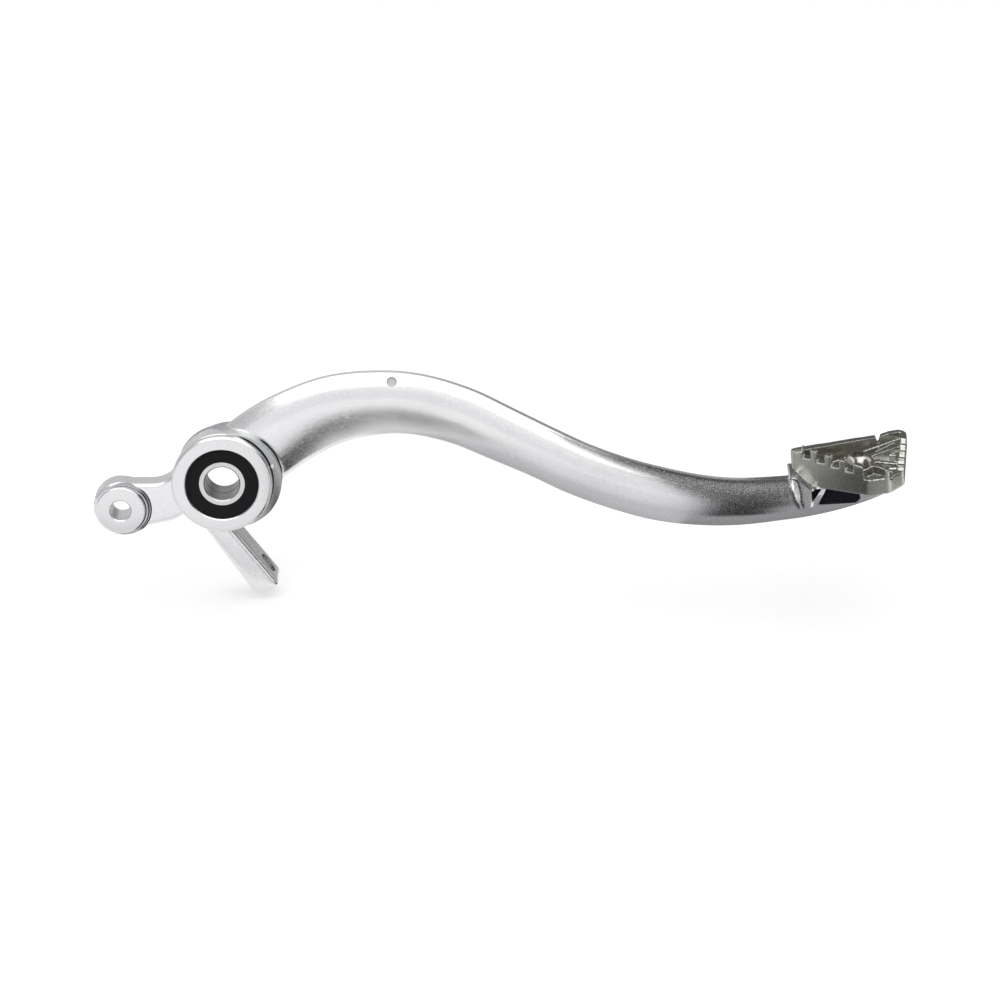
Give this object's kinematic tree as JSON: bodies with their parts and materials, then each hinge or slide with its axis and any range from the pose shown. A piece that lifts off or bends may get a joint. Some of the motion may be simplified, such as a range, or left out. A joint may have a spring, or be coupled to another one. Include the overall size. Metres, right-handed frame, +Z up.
{
  "type": "motorcycle rear brake pedal",
  "caption": "Cast S-shaped brake lever on sealed ball bearings, with a pushrod lug, a stop arm and a toothed step plate at its tip",
  "frame": {"origin": "middle of the bearing pair, on the pivot axis", "axes": "+X towards the step plate, +Y along the pivot axis from the front of the pedal to its back, +Z up"},
  "size_m": [0.2337, 0.0289, 0.0648],
  "materials": {
    "cast_aluminium": "fine bead-blasted, machined on the hub and boss faces",
    "step_steel": "cast, tumbled smooth",
    "screw_steel": "satin",
    "spring_steel": "dark phosphated",
    "bearing_steel": "ground",
    "cage_brass": "pressed",
    "seal_rubber": "matt moulded"
  },
  "bodies": {
    "pivot": {"front_inner_ring": "bearing_steel", "rear_inner_ring": "bearing_steel"},
    "pedal": {"lever": "cast_aluminium", "step_plate": "step_steel", "step_plate_screw": "screw_steel", "bearing_circlip": "spring_steel", "front_outer_ring": "bearing_steel", "rear_outer_ring": "bearing_steel", "front_outer_seal": "seal_rubber", "front_inner_seal": "seal_rubber", "rear_outer_seal": "seal_rubber", "rear_inner_seal": "seal_rubber"},
    "front_ball_set": {"front_cage": "cage_brass", "front_balls": "bearing_steel"},
    "rear_ball_set": {"rear_cage": "cage_brass", "rear_balls": "bearing_steel"}
  },
  "joints": [
    {"name": "pedal_pivot", "type": "hinge", "parent": "pivot", "child": "pedal", "pos_m": [0, 0, 0], "axis": [0, 1, 0], "continuous": true},
    {"name": "front_cage_turn", "type": "hinge", "parent": "pivot", "child": "front_ball_set", "pos_m": [0, -0.003, 0], "axis": [0, 1, 0], "continuous": true},
    {"name": "rear_cage_turn", "type": "hinge", "parent": "pivot", "child": "rear_ball_set", "pos_m": [0, 0.003, 0], "axis": [0, 1, 0], "continuous": true}
  ],
  "couplings": [
    {"joint": "front_cage_turn", "follows": "pedal_pivot", "ratio": 0.6},
    {"joint": "rear_cage_turn", "follows": "pedal_pivot", "ratio": 0.6}
  ]
}
